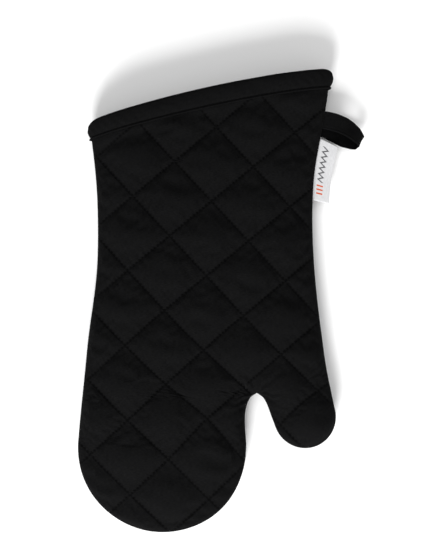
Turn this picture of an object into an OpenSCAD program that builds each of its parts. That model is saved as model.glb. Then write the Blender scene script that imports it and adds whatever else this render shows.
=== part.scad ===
// Quilted oven mitt, lying on its back. +Y runs from the fingers to the cuff, +X to the
// thumb, +Z out of the front panel. The origin is on the flat rest face, under the palm.

/* [Hand outline] */
// Length of the finger pocket, from the crotch of the thumb to the fingertips
finger_l = 111; // [95:1:140]
// Width of the finger pocket
finger_w = 127; // [105:1:155]
// Length of the little-finger side, from the crotch level to the cuff
palm_l = 191.5; // [155:0.5:230]
// How much further the cuff reaches on the thumb side
cuff_rise = 55.5; // [20:0.5:70]
// How far the cuff's edge crowns above a straight line
cuff_crown = 5; // [0:0.5:12]
// Distance of the cuff's little-finger end from the centre line
cuff_left = 98; // [88:1:120]
// Distance of the cuff's thumb end from the centre line
cuff_right = 78.5; // [70:0.5:95]
// Distance of the narrow waist from the centre line, little-finger side
waist_left = 83; // [75:1:95]
// Distance of the narrow waist from the centre line, thumb side
waist_right = 73.5; // [68:1:90]

/* [Thumb] */
// Width of the thumb pocket
thumb_w = 47; // [40:1:56]
// How far the thumb's tip reaches past the crotch
thumb_l = 37.5; // [34:0.5:60]
// Distance of the thumb tip's centre from the centre line
thumb_out = 82.5; // [78:0.5:95]
// Lean of the thumb away from the hand
thumb_lean = 23.5; // [15:0.5:32]

/* [Thickness] */
// Height of the side seam above the table
seam_z = 13; // [11:0.5:18]
// Rise of the front panel above the seam, in the palm
front_h = 19; // [14:0.5:26]
// Rise of the front panel above the seam, at the fingertips and at the cuff
end_h = 15; // [12:0.5:22]
// Distance from the seam over which a panel rounds up to its full height
dome_w = 50; // [40:1:65]
// Thickness of the outer cotton cloth
outer_t = 0.6; // [0.4:0.1:1]
// Thickness of the batting
batting_t = 4; // [3:0.1:5]
// Thickness of the lining cloth
lining_t = 0.4; // [0.3:0.1:0.8]

/* [Quilting] */
// Width of a quilted diamond, across the hand
diamond_w = 58; // [40:1:80]
// Length of a quilted diamond, along the hand
diamond_l = 55; // [40:1:80]
// Thickness of the quilting thread
thread_t = 0.4; // [0.3:0.05:0.6]
// Length of the stitch runs that show between two dips of the thread
stitch_run = 9; // [6:0.5:12]

/* [Cuff binding] */
// Depth of the binding that folds over the cuff's edge
binding_w = 13; // [9:0.5:16]
// Thickness of the folded binding
binding_t = 1.6; // [1:0.1:2]
// Distance of its stitch line from the binding's lower edge
binding_stitch_in = 1.8; // [1.2:0.1:3]

/* [Hanging loop and label] */
// Width of the loop's tape
loop_w = 13.5; // [10:0.5:16]
// Thickness of the loop's folded tape
loop_t = 1.8; // [1.2:0.1:2.4]
// How far the loop stands out of the side seam
loop_out = 29; // [26:0.5:40]
// Distance from the cuff's thumb end down to the middle of the loop's upper ply
loop_down = 37; // [34:0.5:48]
// Length of the side label along the seam
label_l = 46.5; // [30:0.5:60]
// How far the side label stands out of the seam
label_out = 12; // [8:0.5:16]
// Thickness of the folded label
label_t = 0.7; // [0.5:0.1:1.2]

/* [Hidden] */

black = "#1b1b1d";
wadding = "#d9d6cf";
white = "#e9e9ea";

front = 1;
back = -1;
across = 15;          // points across a panel
ply_gap = 0.06;       // slack between two plies
panel_gap = 0.5;      // the two panels stay this far apart at the seam, for its thread
zone_gap = 0.1;       // slack between a crease and the stiff length next to it
tab_gap = 0.7;        // slack between the side seam and the tabs sewn into it
thread_slack = 0.45;  // the front's thread stands this far off its cloth
inner_slack = 1.2;    // and the back's thread off the lining, inside the hand
dome_power = 2.2;     // how square a panel's edge rounds over

ply_out = [0, -(outer_t + ply_gap), -(outer_t + batting_t + 2 * ply_gap)];
ply_thick = [outer_t, batting_t, lining_t];
wall_t = outer_t + batting_t + lining_t + 2 * ply_gap;

// The sewing pattern. The crotch, where fingers and thumb part, sets the levels.
crotch = [45, -66];
finger_r = finger_w / 2;
finger_c = [finger_r - 85, crotch.y - finger_l + finger_r];
thumb_r = thumb_w / 2;
thumb_c = [thumb_out, crotch.y - thumb_l + thumb_r];
cuff_left_y = crotch.y + palm_l - binding_t;
cuff_right_y = cuff_left_y + cuff_rise;
back_h = seam_z + 5;  // the back would round down this far, but the table stops it
thumb_across = [cos(thumb_lean), sin(thumb_lean)];
thumb_along = [sin(thumb_lean), -cos(thumb_lean)];
thumb_left = thumb_c - thumb_across * thumb_r;
thumb_right = thumb_c + thumb_across * thumb_r;

left_edge = [
    [finger_c.y, finger_c.x - finger_r],
    [crotch.y + 21, finger_c.x - finger_r],
    [crotch.y + 84, -waist_left],
    [mix(crotch.y + 84, cuff_left_y, 0.45), mix(-waist_left, -cuff_left, 0.3)],
    [cuff_left_y, -cuff_left]
];
right_edge = [
    [thumb_right.y, thumb_right.x],
    [crotch.y + 32, mix(thumb_right.x, waist_right, 0.34)],
    [crotch.y + 103, mix(thumb_right.x, waist_right, 0.82)],
    [crotch.y + 161, waist_right],
    [mix(crotch.y + 161, cuff_right_y, 0.6), mix(waist_right, cuff_right, 0.85)],
    [cuff_right_y, cuff_right]
];

// Levels where the stiff lengths end and the creases begin
palm_end_left = crotch.y - 4;
palm_end_right = crotch.y + 32;
finger_start = crotch.y - 39;
thumb_start_left = mix2([thumb_left.x, thumb_left.y], [crotch.x + 6, crotch.y - 3], 0.8);
thumb_start_right = mix(thumb_right.y, palm_end_right, 0.475);

function mix(a, b, t) = a + (b - a) * t;
function mix2(a, b, t) = [mix(a.x, b.x, t), mix(a.y, b.y, t)];
function unit(v) = v / norm(v);
function ramp(a, b, y) = let (t = min(1, max(0, (y - a) / (b - a)))) t * t * (3 - 2 * t);

// A smooth curve through [y, x] points
function slope(p, i) =
    let (a = max(i - 1, 0), b = min(i + 1, len(p) - 1))
    (p[b][1] - p[a][1]) / (p[b][0] - p[a][0]);
function span(p, y, i = 0) = i >= len(p) - 2 || y < p[i + 1][0] ? i : span(p, y, i + 1);
function curve(p, y) =
    let (i = span(p, y), h = p[i + 1][0] - p[i][0], t = (y - p[i][0]) / h)
    (2 * t^3 - 3 * t^2 + 1) * p[i][1] + (t^3 - 2 * t^2 + t) * h * slope(p, i)
    + (3 * t^2 - 2 * t^3) * p[i + 1][1] + (t^3 - t^2) * h * slope(p, i + 1);
function left_at(y) = [curve(left_edge, y), y];
function right_at(y) = [curve(right_edge, y), y];

palm_side = (cuff_left_y - palm_end_left + cuff_right_y - palm_end_right) / 2;

// A row crosses the mitt from seam to seam. A straight row is [left, right, left end is
// sewn, right end is sewn, crown, lift]; a row on a round end is [centre, radius, angle, lean].
function palm_row(t) =
    [left_at(mix(palm_end_left, cuff_left_y, t)),
     right_at(mix(palm_end_right, cuff_right_y, t)), 1, 1, cuff_crown * t^3, cuff_lift(t)];
function cuff_lift(t) = binding_t * ramp(0.8, 1 - binding_w / palm_side, t);
function palm_share(p) =
    let (s = (p.x + waist_left) / (waist_left + waist_right), low = mix(palm_end_left, palm_end_right, s))
    (p.y - low) / (mix(cuff_left_y, cuff_right_y, s) - low);
function round_row(c, r, angle, lean) = [c, r, angle, lean];

end_angles = [0, 15, 30, 43, 55, 66, 76, 85];
divide = mix2(palm_row(0)[0], palm_row(0)[1],
              (crotch.x - palm_row(0)[0].x) / (palm_row(0)[1].x - palm_row(0)[0].x));
finger_right = [
    [divide.x, divide.y], mix2(divide, crotch, 0.5), crotch,
    crotch + [-4.5, -4], crotch + [-7, -14], crotch + [-6, -26],
    [finger_c.x + finger_r - 0.6, finger_start]
];
thumb_edge = [
    [divide.x, divide.y], mix2(divide, crotch, 0.5), crotch, crotch + [5, -3], thumb_start_left
];
palm_rows = [for (j = [0:12]) palm_row(j / 12)];
knuckle_rows = [
    for (j = [0:6])
        [left_at(mix(palm_end_left, finger_start, (j / 6)^1.4)), finger_right[j], 1,
         j < 2 ? 0 : 1, 0, 0]
];
finger_rows = concat(
    [[left_at(finger_start - zone_gap), finger_right[6] - [0, zone_gap], 1, 1, 0, 0]],
    [for (a = end_angles) round_row(finger_c, finger_r, a, 0)]
);
thumb_base_rows = [
    for (j = [0:4])
        [thumb_edge[j], right_at(mix(palm_end_right, thumb_start_right, j / 4)),
         j < 2 ? 0 : 1, 1, 0, 0]
];
thumb_rows = concat(
    [for (t = [0.01, 0.5])
        [mix2(thumb_start_left, thumb_left, t), right_at(mix(thumb_start_right, thumb_right.y, t)),
         1, 1, 0, 0]],
    [for (a = end_angles) round_row(thumb_c, thumb_r, a, thumb_lean)]
);
rows = [palm_rows, knuckle_rows, finger_rows, thumb_base_rows, thumb_rows];

// Both ends of a row on a surface that lies out from the outer cloth by o
function ends(row, o) =
    len(row) == 4
    ? let (b = [cos(row[3]), sin(row[3])],
           a = [sin(row[3]), -cos(row[3])],
           m = row[0] + a * (row[1] + o) * sin(row[2]),
           h = b * (row[1] + o) * cos(row[2]))
      [m - h, m + h]
    : let (u = unit(row[1] - row[0]))
      [row[0] - u * o * row[2], row[1] + u * o * row[3]];
function crown(row, s) = [0, len(row) == 4 ? 0 : 4 * s * (1 - s) * row[4]];
function lift(row) = len(row) == 4 ? 0 : row[5];
function plan(row, s, o) = let (e = ends(row, o)) mix2(e[0], e[1], s) + crown(row, s);

// The sewn seam, from the cuff's left end round the fingers and the thumb to its right end
function left_ends(r, from, to, step) = [for (j = [from:step:to]) ends(r[j], 0)[0]];
function right_ends(r, from, to, step) = [for (j = [from:step:to]) ends(r[j], 0)[1]];
last_end = len(end_angles);
seam = concat(
    [ends(palm_row(1.05), 0)[0]],
    left_ends(palm_rows, 12, 0, -1), left_ends(knuckle_rows, 1, 6, 1),
    left_ends(finger_rows, 1, last_end, 1), right_ends(finger_rows, last_end, 1, -1),
    right_ends(knuckle_rows, 6, 2, -1), left_ends(thumb_base_rows, 3, 4, 1),
    left_ends(thumb_rows, 1, last_end + 1, 1), right_ends(thumb_rows, last_end + 1, 1, -1),
    right_ends(thumb_base_rows, 4, 0, -1), right_ends(palm_rows, 1, 12, 1),
    [ends(palm_row(1.05), 0)[1]]
);
// How deep p lies inside the seam: the distance to it near an edge, and less where edges
// close in from several sides, so that the panels dome smoothly over the whole outline
function seam_pull(p, a, b) =
    let (l = norm(b - a), u = (b - a) / l, s = (p - a) * u, off = p - a - u * s,
         h = max(off * off, 1e-8))
    (s / sqrt(s * s + h) + (l - s) / sqrt((l - s) * (l - s) + h)) / h;
function seam_depth(p) =
    let (pulls = [for (i = [0:len(seam) - 2]) seam_pull(p, seam[i], seam[i + 1])])
    sqrt(2 / (pulls * [for (x = pulls) 1]));
function dome(d) = (1 - (1 - min(1, d / dome_w))^dome_power)^(1 / dome_power);
function front_rise(y) =
    end_h + (front_h - end_h) * ramp(-170, -60, y) * (1 - ramp(40, 150, y));

// The height at plan point p of a surface that lies out from the outer cloth by o
function height(p, o, face, row_lift) =
    let (f = dome(seam_depth(p)), half = panel_gap / 2)
    face == front
    ? seam_z + half + (front_rise(p.y) + o) * f
    : max(seam_z - half - (back_h + o) * f, row_lift - o);
function skin(row, s, o, face) =
    let (p = plan(row, s, o), z = height(plan(row, s, 0), o, face, lift(row))) [p.x, p.y, z];
function spread(k) = (1 - cos(180 * k / (across - 1))) / 2;

function quad(a, b, c, d, flip) = flip ? [[a, c, b], [a, d, c]] : [[a, b, c], [a, c, d]];

// One ply of one panel over one zone
module ply_solid(r, o, thick, face, sink = 0) {
    n = len(r);
    outside = [
        for (j = [0:n - 1]) for (k = [0:across - 1])
            let (p = skin(r[j], spread(k), o, face)) [p.x, p.y, p.z < 0.01 ? p.z - sink : p.z]
    ];
    inside = [
        for (j = [0:n - 1]) for (k = [0:across - 1]) skin(r[j], spread(k), o - thick, face)
    ];
    m = n * across;
    up = r[0][0].y < r[n - 1][0].y || len(r[n - 1]) != 4 && r[0][1].y < r[n - 1][1].y;
    flip = (face == front) == up;
    faces = [
        for (j = [0:n - 2]) for (k = [0:across - 2])
            let (a = j * across + k, b = a + 1, c = b + across, d = a + across)
            for (q = concat(quad(a, b, c, d, flip), quad(m + a, m + b, m + c, m + d, !flip))) q,
        for (k = [0:across - 2])
            let (b = (n - 1) * across + k)
            for (q = concat(quad(k, m + k, m + k + 1, k + 1, flip),
                            quad(b, m + b, m + b + 1, b + 1, !flip))) q,
        for (j = [0:n - 2])
            let (a = j * across, b = a + across, c = a + across - 1, d = b + across - 1)
            for (q = concat(quad(a, m + a, m + b, b, !flip),
                            quad(c, m + c, m + d, d, flip))) q
    ];
    polyhedron(concat(outside, inside), faces, convexity = 6);
}

module ply(p, face, zone) {
    color(p == 1 ? wadding : black)
        if (p == 0 && face == back && zone == 0)
            rest_panel();
        else
            ply_solid(rows[zone], ply_out[p], ply_thick[p], face);
}

// The palm's back cloth is trimmed to one true plane where it lies on the table
module rest_panel() {
    sink = outer_t / 2;
    difference() {
        ply_solid(palm_rows, 0, outer_t, back, sink);
        translate([-200, -200, -10])
            cube([400, 500, 10]);
    }
}

// A thin prism from a to b that lies on a surface, three-sided
module stitch(a, b) {
    u = unit(b - a);
    side = unit(cross(u, [0, 0, 1])) * thread_t / 2;
    rise = [0, 0, thread_t / 2];
    polyhedron(
        [a - side - rise, a + side - rise, a + rise, b - side - rise, b + side - rise, b + rise],
        [[0, 2, 1], [3, 4, 5], [0, 1, 4], [0, 4, 3], [1, 2, 5], [1, 5, 4], [2, 0, 3], [2, 3, 5]]
    );
}

// The quilting lines run both ways, one diamond apart, and drift outwards below the crotch
function quilt_x(y, line, way) =
    way * (y - crotch.y - 87) * diamond_w / diamond_l + line * diamond_w
    + 0.14 * max(0, crotch.y + 31 - y);
function inside_zone(p, zone) =
    let (past_thumb = (p - mix2(thumb_start_left, right_at(thumb_start_right), 0.5)) * thumb_along)
    in_outline(p)
    && (zone == 0
        ? palm_share(p) > 0.005 && palm_share(p) < 1 - (binding_w + 3) / palm_side
        : zone == 2 ? p.y < finger_start - 1 && p.x < crotch.x
        : past_thumb > 1 && p.x > crotch.x);
function in_outline(p) =
    len([for (i = [0:len(seam) - 2])
        let (a = seam[i], b = seam[i + 1])
        if ((a.y > p.y) != (b.y > p.y) && p.x < a.x + (p.y - a.y) * (b.x - a.x) / (b.y - a.y)) 1])
    % 2 == 1;
function on_panel(p, o, face) =
    [p.x, p.y, height(p, o, face, cuff_lift(palm_share(p)))];

// The thread shows on the front panel's cloth, and inside the hand on the back panel
module quilt_thread(face, zone) {
    o = face == front ? thread_slack : -(wall_t + inner_slack);
    rise = stitch_run * diamond_l / norm([diamond_w, diamond_l]);
    low = crotch.y - finger_l;
    steps = floor((cuff_right_y + cuff_crown - low) / rise);
    color(black)
        for (way = [-1, 1]) for (line = [-6:6]) for (i = [0:steps - 1]) {
            ya = low + (i + 0.12) * rise;
            yb = low + (i + 0.88) * rise;
            a = [quilt_x(ya, line, way), ya];
            b = [quilt_x(yb, line, way), yb];
            if (inside_zone(a, zone) && inside_zone(b, zone)
                && min(seam_depth(a), seam_depth(b)) > wall_t + 6)
                stitch(on_panel(a, o, face), on_panel(b, o, face));
        }
}

// The seam's thread runs between the two panels, just inside the turned edge
module seam_run(points) {
    for (i = [0:len(points) - 2])
        let (a = [points[i].x, points[i].y, seam_z], b = [points[i + 1].x, points[i + 1].y, seam_z])
            stitch(a, a + (b - a) * 0.97);
}
function run(r, side, from, to) = [for (j = [from:to]) ends(r[j], -2.5)[side]];
module seam_thread(zone) {
    r = rows[zone];
    n = len(r) - 1;
    color(black) {
        seam_run(run(r, 0, 0, n));
        seam_run(run(r, 1, 0, n));
    }
}

// A profile of [out from the cloth, along past the cuff's edge] points, swept round the mouth
function mouth_ring(o, along) =
    let (row = palm_row(1 + along / palm_side))
    concat([for (k = [0:across - 1]) skin(row, spread(k), o, front)],
           [for (k = [across - 1:-1:0]) skin(row, spread(k), o, back)]);
module round_the_mouth(profile) {
    n = len(profile);
    m = 2 * across;
    points = [for (q = profile) for (p = mouth_ring(q[0], q[1])) p];
    faces = [
        for (i = [0:n - 1]) for (k = [0:m - 1])
            let (a = i * m + k, b = i * m + (k + 1) % m,
                 c = ((i + 1) % n) * m + (k + 1) % m, d = ((i + 1) % n) * m + k)
            for (q = quad(a, b, c, d, true)) q
    ];
    polyhedron(points, faces, convexity = 8);
}
module cuff_binding() {
    in_side = -wall_t - ply_gap;
    color(black)
        round_the_mouth([
            [binding_t, -binding_w], [binding_t, binding_t], [in_side - binding_t, binding_t],
            [in_side - binding_t, -binding_w], [in_side, -binding_w], [in_side, ply_gap],
            [ply_gap, ply_gap], [ply_gap, -binding_w]
        ]);
}
module binding_thread() {
    row = palm_row(1 - (binding_w - binding_stitch_in) / palm_side);
    runs = 40;
    color(black)
        for (i = [2:runs - 3])
            stitch(skin(row, (i + 0.12) / runs, binding_t + thread_slack, front),
                   skin(row, (i + 0.88) / runs, binding_t + thread_slack, front));
}

// The tape's middle line: out of the seam, round the tip and back in just below. It is
// pressed flat where it enters the seam, and bends there.
loop_y = cuff_right_y - loop_down;
loop_bight = 3.3 + loop_t / 2;
loop_path = [
    [0, 0, 0.14], [0.2, -0.16, 0.55], [0.46, -0.42, 0.9], [0.72, -0.71, 1], [0.9, -0.91, 0.82],
    [0.98, -0.99, 0.42], [1, -1.01, 0], [0.98, -1.02, -0.42], [0.9, -1.01, -0.82],
    [0.72, -0.98, -1], [0.46, -0.88, -0.9], [0.2, -0.67, -0.55], [0, -0.5, -0.14]
];
loop_droop = 12;
loop_reach = loop_out - loop_t / 2 - tab_gap;
function loop_point(q) =
    [right_at(loop_y).x + tab_gap + q[0] * loop_reach, loop_y + q[1] * loop_droop,
     seam_z + q[2] * loop_bight];
module hanging_loop() {
    n = len(loop_path);
    width = [sin(22), cos(22), 0] * loop_w / 2;
    seam_way = right_at(loop_y + 1) - right_at(loop_y - 1);
    c = [for (q = loop_path) loop_point(q)];
    points = [
        for (i = [0:n - 1])
            let (along = c[min(i + 1, n - 1)] - c[max(i - 1, 0)],
                 end = i == 0 || i == n - 1,
                 half = unit(cross(width, along)) * loop_t / 2 * (end ? 0.6 : 1),
                 w = end ? unit([seam_way.x, seam_way.y, 0]) * loop_w / 2 : width)
            for (p = [c[i] - w - half, c[i] + w - half, c[i] + w + half, c[i] - w + half]) p
    ];
    faces = concat(
        [for (i = [0:n - 2]) for (k = [0:3])
            let (a = 4 * i + k, b = 4 * i + (k + 1) % 4)
            for (q = quad(a, b, b + 4, a + 4, false)) q],
        quad(0, 1, 2, 3, true), quad(4 * n - 4, 4 * n - 3, 4 * n - 2, 4 * n - 1, false)
    );
    color(black)
        polyhedron(points, faces, convexity = 6);
}

// The label is sewn into the seam right below the loop, and leans the same way
label_top = loop_y - loop_droop / 2 - loop_w / 2 - 1;
label_drop = 5.2;
module side_label() {
    top = right_at(label_top) + [tab_gap, 0];
    foot = right_at(label_top - label_l) + [tab_gap, 0];
    color(white)
        translate([0, 0, seam_z - label_t / 2])
            linear_extrude(label_t)
                polygon([top, top + [label_out, -label_drop],
                         foot + [label_out - 0.5, -label_drop / 3], foot]);
}

ply(0, front, 0);  // outer_front_palm
ply(0, front, 1);  // outer_front_knuckle
ply(0, front, 2);  // outer_front_fingers
ply(0, front, 3);  // outer_front_thumb_base
ply(0, front, 4);  // outer_front_thumb
ply(1, front, 0);  // batting_front_palm
ply(1, front, 1);  // batting_front_knuckle
ply(1, front, 2);  // batting_front_fingers
ply(1, front, 3);  // batting_front_thumb_base
ply(1, front, 4);  // batting_front_thumb
ply(2, front, 0);  // lining_front_palm
ply(2, front, 1);  // lining_front_knuckle
ply(2, front, 2);  // lining_front_fingers
ply(2, front, 3);  // lining_front_thumb_base
ply(2, front, 4);  // lining_front_thumb
ply(0, back, 0);  // outer_back_palm
ply(0, back, 1);  // outer_back_knuckle
ply(0, back, 2);  // outer_back_fingers
ply(0, back, 3);  // outer_back_thumb_base
ply(0, back, 4);  // outer_back_thumb
ply(1, back, 0);  // batting_back_palm
ply(1, back, 1);  // batting_back_knuckle
ply(1, back, 2);  // batting_back_fingers
ply(1, back, 3);  // batting_back_thumb_base
ply(1, back, 4);  // batting_back_thumb
ply(2, back, 0);  // lining_back_palm
ply(2, back, 1);  // lining_back_knuckle
ply(2, back, 2);  // lining_back_fingers
ply(2, back, 3);  // lining_back_thumb_base
ply(2, back, 4);  // lining_back_thumb
quilt_thread(front, 0);  // quilt_thread_front_palm
quilt_thread(front, 2);  // quilt_thread_front_fingers
quilt_thread(front, 4);  // quilt_thread_front_thumb
quilt_thread(back, 0);  // quilt_thread_back_palm
quilt_thread(back, 2);  // quilt_thread_back_fingers
quilt_thread(back, 4);  // quilt_thread_back_thumb
seam_thread(0);  // seam_thread_palm
seam_thread(2);  // seam_thread_fingers
seam_thread(4);  // seam_thread_thumb
cuff_binding();
binding_thread();
hanging_loop();
side_label();
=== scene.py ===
import math
from functools import partial
import bpy
import numpy as np
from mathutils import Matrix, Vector
from mathutils.bvhtree import BVHTree


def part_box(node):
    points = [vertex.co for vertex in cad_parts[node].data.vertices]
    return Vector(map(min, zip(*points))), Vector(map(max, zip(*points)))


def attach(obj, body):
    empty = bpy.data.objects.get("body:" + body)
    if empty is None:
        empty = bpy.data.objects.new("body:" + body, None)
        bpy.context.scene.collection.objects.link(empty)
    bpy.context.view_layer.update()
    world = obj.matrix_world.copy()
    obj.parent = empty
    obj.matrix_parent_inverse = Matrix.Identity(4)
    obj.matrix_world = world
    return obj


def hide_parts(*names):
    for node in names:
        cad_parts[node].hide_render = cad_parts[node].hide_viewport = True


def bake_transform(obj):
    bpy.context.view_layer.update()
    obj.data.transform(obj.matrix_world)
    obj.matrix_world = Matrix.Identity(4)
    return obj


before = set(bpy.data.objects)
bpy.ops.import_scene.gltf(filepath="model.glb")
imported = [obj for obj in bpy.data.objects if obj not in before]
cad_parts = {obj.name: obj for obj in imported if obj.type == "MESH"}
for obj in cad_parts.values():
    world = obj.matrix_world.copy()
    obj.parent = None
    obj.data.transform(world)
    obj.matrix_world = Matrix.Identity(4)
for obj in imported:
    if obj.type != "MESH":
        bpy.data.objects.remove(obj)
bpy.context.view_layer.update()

mm = 0.001
print("frame: CAD model loaded")


def boxMm(node):
    low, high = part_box(node)
    return np.array(low) / mm, np.array(high) / mm


# ---- sewing pattern, in millimetres

fingersLow, fingersHigh = boxMm("outer_front_fingers")
labelLow, labelHigh = boxMm("side_label")

mitt = {
    "crotch": (45, -66),          # where fingers and thumb part
    "waistLeft": 83,              # narrowest places of the wrist
    "waistRight": 73.5,
    "cuffLeft": 98,
    "cuffRight": 78.5,
    "cuffLeftY": 123.9,
    "cuffRise": 55.5,             # the cuff reaches this much further on the thumb side
    "cuffCrown": 5,
    "palmEnds": (-4, 32),         # ends of the palm's lowest row, over the crotch
    "forkDrop": 12,               # the rows below it fall this far at the side seams
    "fingerCorner": ((-4.6, -4), (-7, -14), (-6, -26)),   # from the crotch down the fingers
    "fingersDown": 39,            # the finger pocket has its full width this far below the crotch
    "thumbCorner": (4.6, -2.6),   # from the crotch out to the thumb
    "thumbStart": (6, -3),
    "leftHeights": (21, 84),      # of the straight edge and the waist, over the crotch
    "rightHeights": (32, 103, 161),
    "thumbCentre": (82.5, -80),   # centre of the thumb's round tip
    "thumbRadius": 23.5,
    "thumbLean": 23.5,            # degrees away from the hand
    "frontRise": 19,              # of the front panel over the seam, in the palm
    "endRise": 15,                # and at the fingertips and cuff
    "backDepth": 18,
    "domeWidth": 50,
    "domePower": 2.2,
    "wall": 5.1,
    "panelGap": 0.1,
    "backRest": 0.9,              # the back cloth lies this high before it is quilted
    "restSoftness": 0.8,
    "bindingThickness": 1.6,
    "bindingLift": (0.8, 0.936),  # shares of the palm over which the back rises to lie on the binding
    "bindingCover": (0.915, 0.945),   # and over which the quilting fades out under it
}
fingerRadius = (fingersHigh[0] - fingersLow[0]) / 2
fingerCentre = np.array([(fingersHigh[0] + fingersLow[0]) / 2,
                         fingersLow[1] + fingerRadius * math.sin(math.radians(85))])
seamHeight = (labelLow[2] + labelHigh[2]) / 2
crotch = np.array(mitt["crotch"], float)
thumbCentre = np.array(mitt["thumbCentre"], float)
cuffRightY = mitt["cuffLeftY"] + mitt["cuffRise"]
lean = math.radians(mitt["thumbLean"])
thumbAcross = np.array([math.cos(lean), math.sin(lean)])
thumbAlong = np.array([math.sin(lean), -math.cos(lean)])
thumbLeft = thumbCentre - thumbAcross * mitt["thumbRadius"]
thumbRight = thumbCentre + thumbAcross * mitt["thumbRadius"]


def mix(a, b, t):
    return a + (b - a) * t


def unit(vectors):
    return vectors / np.maximum(np.linalg.norm(vectors, axis=-1, keepdims=True), 1e-9)


def ramp(a, b, x):
    t = np.clip((x - a) / (b - a), 0, 1)
    return t * t * (3 - 2 * t)


def smoothCurve(points, x):
    # cubic Hermite curve through [x, y...] points
    p = np.array(points, float)
    slopes = np.array([(p[min(i + 1, len(p) - 1), 1:] - p[max(i - 1, 0), 1:])
                       / (p[min(i + 1, len(p) - 1), 0] - p[max(i - 1, 0), 0]) for i in range(len(p))])
    x = np.asarray(x, float)
    i = np.clip(np.searchsorted(p[:, 0], x) - 1, 0, len(p) - 2)
    h = p[i + 1, 0] - p[i, 0]
    t = ((x - p[i, 0]) / h)[..., None]
    h = h[..., None]
    return ((2 * t**3 - 3 * t**2 + 1) * p[i, 1:] + (t**3 - 2 * t**2 + t) * h * slopes[i]
            + (3 * t**2 - 2 * t**3) * p[i + 1, 1:] + (t**3 - t**2) * h * slopes[i + 1])


# [y, x] points of the two side seams
straightY, waistY = (crotch[1] + up for up in mitt["leftHeights"])
thumbBaseY, wristY, taperY = (crotch[1] + up for up in mitt["rightHeights"])
leftEdge = [
    (fingerCentre[1], fingerCentre[0] - fingerRadius),
    (straightY, fingerCentre[0] - fingerRadius),
    (waistY, -mitt["waistLeft"]),
    (mix(waistY, mitt["cuffLeftY"], 0.45), mix(-mitt["waistLeft"], -mitt["cuffLeft"], 0.3)),
    (mitt["cuffLeftY"], -mitt["cuffLeft"]),
]
rightEdge = [
    (thumbRight[1], thumbRight[0]),
    (thumbBaseY, mix(thumbRight[0], mitt["waistRight"], 0.34)),
    (wristY, mix(thumbRight[0], mitt["waistRight"], 0.82)),
    (taperY, mitt["waistRight"]),
    (mix(taperY, cuffRightY, 0.6), mix(mitt["waistRight"], mitt["cuffRight"], 0.85)),
    (cuffRightY, mitt["cuffRight"]),
]


def edgeAt(edge, y):
    y = np.asarray(y, float)
    return np.stack([smoothCurve(edge, y)[..., 0], y], -1)


def lengthsAlong(points):
    # running length of the line through these points
    return np.concatenate([[0], np.cumsum(np.linalg.norm(np.diff(points, axis=0), axis=1))])


def valuesAt(at, length, values):
    return np.stack([np.interp(at, length, column) for column in values.T], -1)


def alongCurve(points, share, samples=600):
    # points at shares of the length of a smooth curve, and how far along it they lie
    p = np.array(points, float)
    chord = lengthsAlong(p)
    fine = smoothCurve(np.column_stack([chord, p]), np.linspace(0, chord[-1], samples))
    length = lengthsAlong(fine)
    at = np.asarray(share) * length[-1]
    return valuesAt(at, length, fine), at


# ---- the two grids of a panel: hand and thumb share a column from the cuff to the crotch

gridSizes = {"handColumns": 141, "thumbColumns": 57, "palmRows": 128, "forkRows": 14,
             "crotchRows": 38, "tipRows": 46, "thumbTipRows": 26}
palmEndLeft, palmEndRight = (crotch[1] + up for up in mitt["palmEnds"])


def palmEnds(t):
    left = edgeAt(leftEdge, mix(palmEndLeft, mitt["cuffLeftY"], t))
    right = edgeAt(rightEdge, mix(palmEndRight, cuffRightY, t))
    return left, right


rowStart, rowEnd = palmEnds(np.array(0.0))
divideShare = (crotch[0] - rowStart[0]) / (rowEnd[0] - rowStart[0])
divide = mix(rowStart, rowEnd, divideShare)


def spacing(count, leftSewn, rightSewn):
    # shares across a row, crowded towards the ends that are sewn, where the panel turns steeply
    u = np.linspace(0, 1, count)
    both = (1 - np.cos(np.pi * u)) / 2
    both = mix(u, both, 0.93)
    leftOnly = mix(u, 1 - np.cos(np.pi * u / 2), 0.9)
    rightOnly = mix(u, np.sin(np.pi * u / 2), 0.9)
    one = leftOnly if leftSewn >= rightSewn else rightOnly
    return mix(one, both, min(leftSewn, rightSewn))


def gridRow(left, right, sewn=(1.0, 1.0), crown=0, part=(0, 1), tip=None):
    return {"left": left, "right": right, "sewn": sewn, "crown": crown, "part": part, "tip": tip}


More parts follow.
